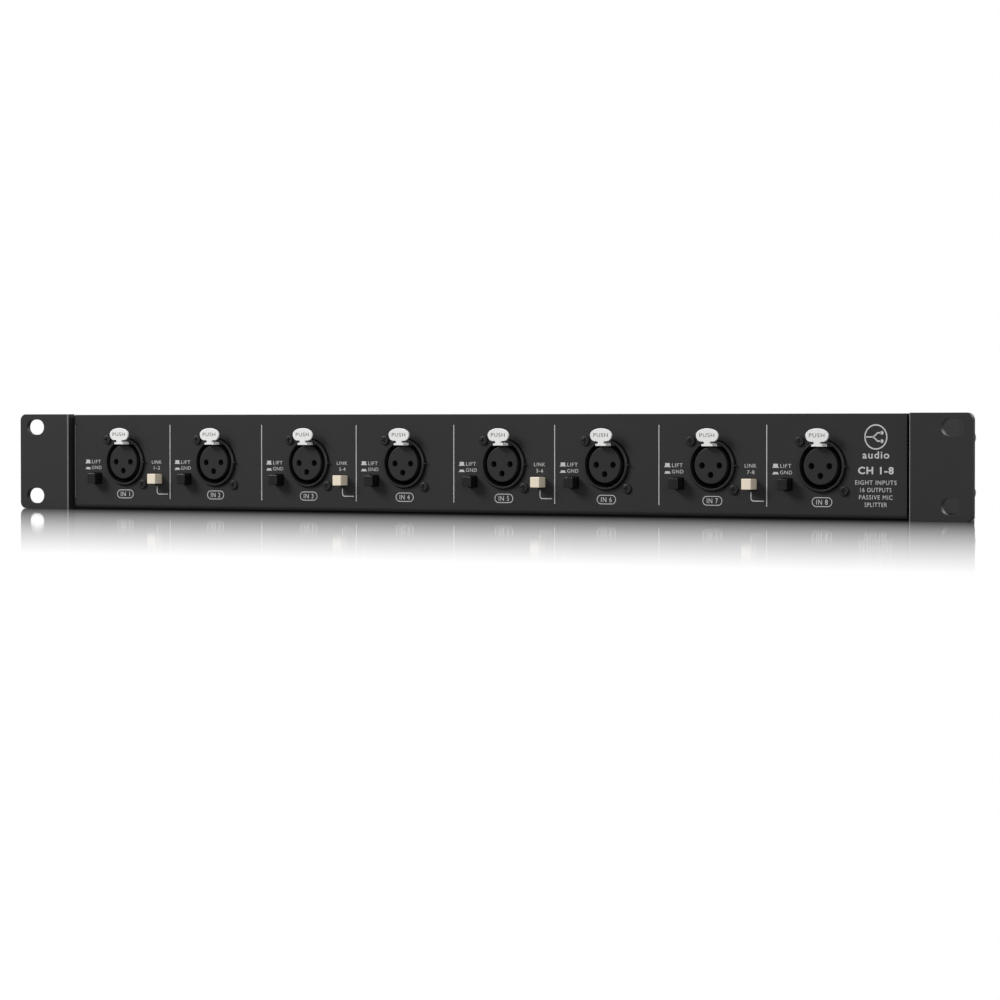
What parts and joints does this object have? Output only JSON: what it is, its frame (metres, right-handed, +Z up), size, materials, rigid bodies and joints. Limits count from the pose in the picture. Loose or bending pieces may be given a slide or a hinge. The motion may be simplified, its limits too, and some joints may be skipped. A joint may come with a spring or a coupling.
{
  "type": "microphone splitter",
  "caption": "Rack-mount microphone splitter: a shallow one-unit case with latching three-pin inputs and push buttons in front, output connectors behind, and slotted L-shaped ears.",
  "frame": {"origin": "centre of the four rack slots, on the rear faces of the ears, which is also the plane of the front panel's face", "axes": "+X to the right of the front panel, +Y into the case away from the front, +Z up"},
  "size_m": [0.4826, 0.0691, 0.0436],
  "materials": {
    "panel_paint": "fine matt powder coat, dark grey",
    "ear_paint": "fine matt powder coat, dark grey",
    "socket_plastic": "moulded black, satin",
    "insert_plastic": "moulded black, matt",
    "contact_metal": "tin plated",
    "latch_metal": "white coated spring steel",
    "spring_steel": "bright",
    "black_button": "moulded black, semi-gloss",
    "ivory_button": "moulded ivory, semi-gloss",
    "switch_plastic": "moulded black",
    "circuit_board": "green solder mask",
    "zinc_steel": "zinc plated",
    "pad_fibre": "fibre board",
    "core_steel": "varnished laminations",
    "bobbin_plastic": "natural nylon",
    "coil_wire": "enamelled copper",
    "ribbon_sleeve": "grey ribbon insulation",
    "output_plastic": "moulded black, satin",
    "black_screw": "black oxide"
  },
  "bodies": {
    "chassis": {"board_headers": "switch_plastic", "board_spacers": "zinc_steel", "chassis_tray": "panel_paint", "cover_screws": "zinc_steel", "direct_outputs": "output_plastic", "ear_screws": "black_screw", "front_board": "circuit_board", "input_contacts": "contact_metal", "input_inserts": "insert_plastic", "input_socket_1": "socket_plastic", "input_socket_2": "socket_plastic", "input_socket_3": "socket_plastic", "input_socket_4": "socket_plastic", "input_socket_5": "socket_plastic", "input_socket_6": "socket_plastic", "input_socket_7": "socket_plastic", "input_socket_8": "socket_plastic", "latch_springs": "spring_steel", "left_rack_ear": "ear_paint", "lift_switch_bodies": "switch_plastic", "link_switch_bodies": "switch_plastic", "output_inserts": "output_plastic", "output_pins": "contact_metal", "output_screws": "zinc_steel", "rear_board": "circuit_board", "ribbon_cables": "ribbon_sleeve", "right_rack_ear": "ear_paint", "socket_screws": "black_screw", "split_outputs": "output_plastic", "top_cover": "panel_paint", "transformer_bobbins": "bobbin_plastic", "transformer_coils": "coil_wire", "transformer_cores": "core_steel", "transformer_pads": "pad_fibre"},
    "latch_tab_1": {"latch_tab_1": "latch_metal"},
    "latch_tab_2": {"latch_tab_2": "latch_metal"},
    "latch_tab_3": {"latch_tab_3": "latch_metal"},
    "latch_tab_4": {"latch_tab_4": "latch_metal"},
    "latch_tab_5": {"latch_tab_5": "latch_metal"},
    "latch_tab_6": {"latch_tab_6": "latch_metal"},
    "latch_tab_7": {"latch_tab_7": "latch_metal"},
    "latch_tab_8": {"latch_tab_8": "latch_metal"},
    "lift_button_1": {"lift_button_1": "black_button"},
    "lift_button_2": {"lift_button_2": "black_button"},
    "lift_button_3": {"lift_button_3": "black_button"},
    "lift_button_4": {"lift_button_4": "black_button"},
    "lift_button_5": {"lift_button_5": "black_button"},
    "lift_button_6": {"lift_button_6": "black_button"},
    "lift_button_7": {"lift_button_7": "black_button"},
    "lift_button_8": {"lift_button_8": "black_button"},
    "link_button_1": {"link_button_1": "ivory_button"},
    "link_button_2": {"link_button_2": "ivory_button"},
    "link_button_3": {"link_button_3": "ivory_button"},
    "link_button_4": {"link_button_4": "ivory_button"}
  },
  "joints": [
    {"name": "latch_press_1", "type": "slide", "parent": "chassis", "child": "latch_tab_1", "axis": [0, 1, 0], "range_m": [0, 0.0018], "stiffness_N_per_m": 700},
    {"name": "latch_press_2", "type": "slide", "parent": "chassis", "child": "latch_tab_2", "axis": [0, 1, 0], "range_m": [0, 0.0018], "stiffness_N_per_m": 700},
    {"name": "latch_press_3", "type": "slide", "parent": "chassis", "child": "latch_tab_3", "axis": [0, 1, 0], "range_m": [0, 0.0018], "stiffness_N_per_m": 700},
    {"name": "latch_press_4", "type": "slide", "parent": "chassis", "child": "latch_tab_4", "axis": [0, 1, 0], "range_m": [0, 0.0018], "stiffness_N_per_m": 700},
    {"name": "latch_press_5", "type": "slide", "parent": "chassis", "child": "latch_tab_5", "axis": [0, 1, 0], "range_m": [0, 0.0018], "stiffness_N_per_m": 700},
    {"name": "latch_press_6", "type": "slide", "parent": "chassis", "child": "latch_tab_6", "axis": [0, 1, 0], "range_m": [0, 0.0018], "stiffness_N_per_m": 700},
    {"name": "latch_press_7", "type": "slide", "parent": "chassis", "child": "latch_tab_7", "axis": [0, 1, 0], "range_m": [0, 0.0018], "stiffness_N_per_m": 700},
    {"name": "latch_press_8", "type": "slide", "parent": "chassis", "child": "latch_tab_8", "axis": [0, 1, 0], "range_m": [0, 0.0018], "stiffness_N_per_m": 700},
    {"name": "lift_press_1", "type": "slide", "parent": "chassis", "child": "lift_button_1", "axis": [0, 1, 0], "range_m": [0, 0.0025], "stiffness_N_per_m": 400},
    {"name": "lift_press_2", "type": "slide", "parent": "chassis", "child": "lift_button_2", "axis": [0, 1, 0], "range_m": [0, 0.0025], "stiffness_N_per_m": 400},
    {"name": "lift_press_3", "type": "slide", "parent": "chassis", "child": "lift_button_3", "axis": [0, 1, 0], "range_m": [0, 0.0025], "stiffness_N_per_m": 400},
    {"name": "lift_press_4", "type": "slide", "parent": "chassis", "child": "lift_button_4", "axis": [0, 1, 0], "range_m": [0, 0.0025], "stiffness_N_per_m": 400},
    {"name": "lift_press_5", "type": "slide", "parent": "chassis", "child": "lift_button_5", "axis": [0, 1, 0], "range_m": [0, 0.0025], "stiffness_N_per_m": 400},
    {"name": "lift_press_6", "type": "slide", "parent": "chassis", "child": "lift_button_6", "axis": [0, 1, 0], "range_m": [0, 0.0025], "stiffness_N_per_m": 400},
    {"name": "lift_press_7", "type": "slide", "parent": "chassis", "child": "lift_button_7", "axis": [0, 1, 0], "range_m": [0, 0.0025], "stiffness_N_per_m": 400},
    {"name": "lift_press_8", "type": "slide", "parent": "chassis", "child": "lift_button_8", "axis": [0, 1, 0], "range_m": [0, 0.0025], "stiffness_N_per_m": 400},
    {"name": "link_press_1", "type": "slide", "parent": "chassis", "child": "link_button_1", "axis": [0, 1, 0], "range_m": [0, 0.0025], "stiffness_N_per_m": 400},
    {"name": "link_press_2", "type": "slide", "parent": "chassis", "child": "link_button_2", "axis": [0, 1, 0], "range_m": [0, 0.0025], "stiffness_N_per_m": 400},
    {"name": "link_press_3", "type": "slide", "parent": "chassis", "child": "link_button_3", "axis": [0, 1, 0], "range_m": [0, 0.0025], "stiffness_N_per_m": 400},
    {"name": "link_press_4", "type": "slide", "parent": "chassis", "child": "link_button_4", "axis": [0, 1, 0], "range_m": [0, 0.0025], "stiffness_N_per_m": 400}
  ]
}
